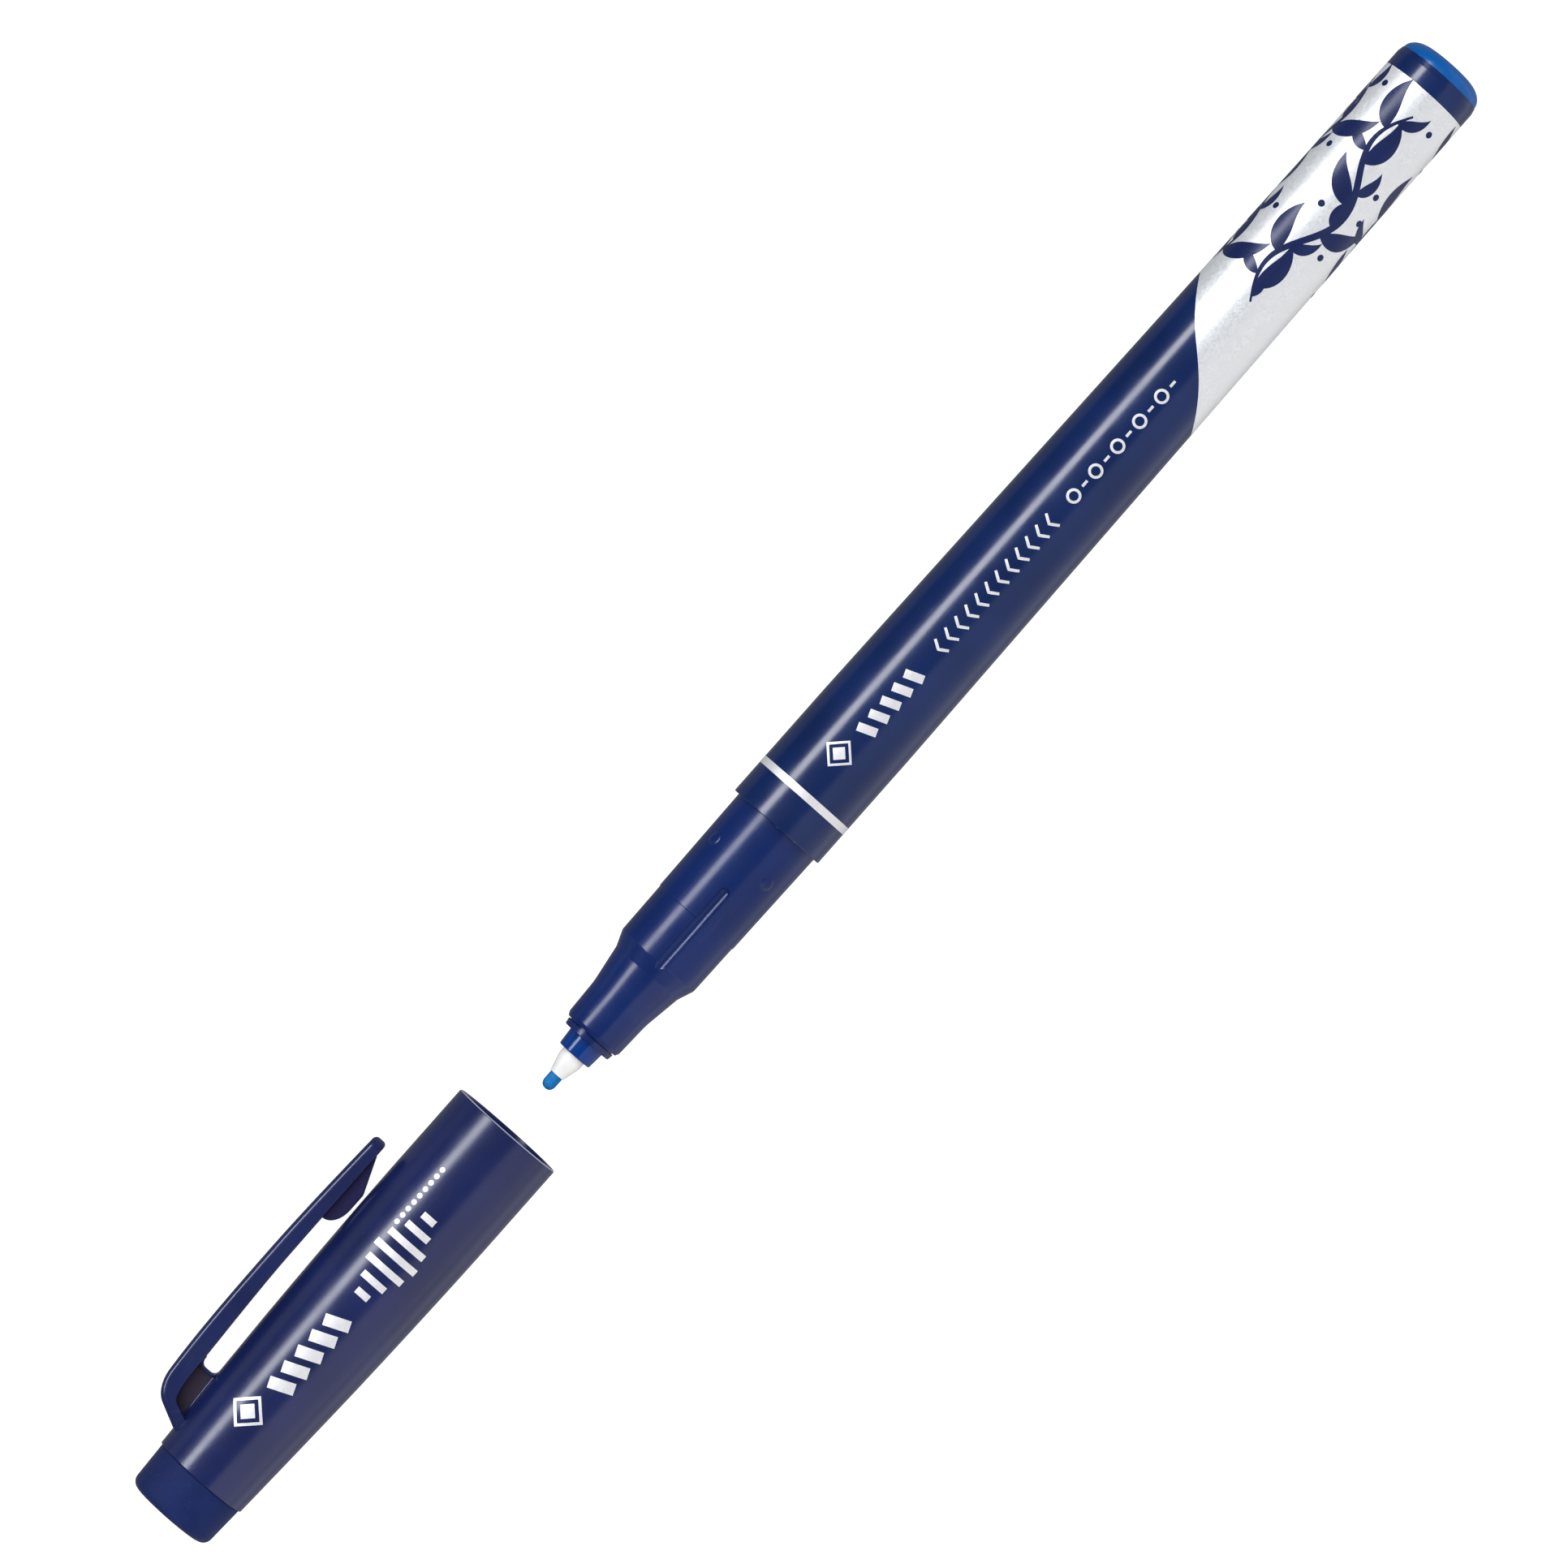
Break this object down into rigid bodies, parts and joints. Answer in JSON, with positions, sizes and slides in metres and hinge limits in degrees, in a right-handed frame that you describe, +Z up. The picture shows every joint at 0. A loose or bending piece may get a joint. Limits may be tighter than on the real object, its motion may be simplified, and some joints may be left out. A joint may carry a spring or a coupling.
{
  "type": "technical pen",
  "caption": "Slim fibre-tip technical pen with its cap pulled off and lying in line, with a flexing pocket clip and a rubber eraser crown on the cap.",
  "frame": {"origin": "on the pen's axis, at the front edge of the barrel, which is the stop for the cap's mouth", "axes": "+X along the pen's axis in the writing direction, from the tail to the nib and on to the cap; +Z up as the pen lies on a desk, with the clip's edge on the desk towards -Y"},
  "size_m": [0.1813, 0.015, 0.0116],
  "materials": {
    "navy_barrel": "gloss navy polypropylene",
    "navy_section": "gloss navy moulding, slightly bluer than the barrel",
    "navy_cap": "gloss navy with a hint of purple",
    "plug_blue": "satin bright blue",
    "holder_blue": "satin mid blue",
    "shroud_white": "satin white",
    "nib_fibre": "ink-soaked blue fibre",
    "ink_fibre": "ink-soaked bonded fibre",
    "clear_film": "thin clear film",
    "liner_grey": "natural polyethylene",
    "eraser_navy": "matte navy rubber"
  },
  "bodies": {
    "pen": {"barrel": "navy_barrel", "end_plug": "plug_blue", "ink_reservoir": "ink_fibre", "reservoir_film": "clear_film", "front_section": "navy_section", "nib_holder": "holder_blue", "nib_shroud": "shroud_white", "nib": "nib_fibre"},
    "inner_cap": {"cap_liner": "liner_grey"},
    "cap": {"cap_shell": "navy_cap", "eraser": "eraser_navy"},
    "clip": {"cap_clip": "navy_cap"}
  },
  "joints": [
    {"name": "cap_slide", "type": "slide", "parent": "pen", "child": "inner_cap", "axis": [-1, 0, 0], "range_m": [0, 0.0379]},
    {"name": "cap_turn", "type": "hinge", "parent": "inner_cap", "child": "cap", "pos_m": [0.03796, 0, 0], "axis": [-1, 0, 0], "continuous": true},
    {"name": "clip_flex", "type": "hinge", "parent": "cap", "child": "clip", "pos_m": [0.07226, -0.00738, -0.00353], "axis": [0, -0.4316, 0.9021], "range_deg": [0, 5], "stiffness_Nm_per_rad": 0.5}
  ]
}
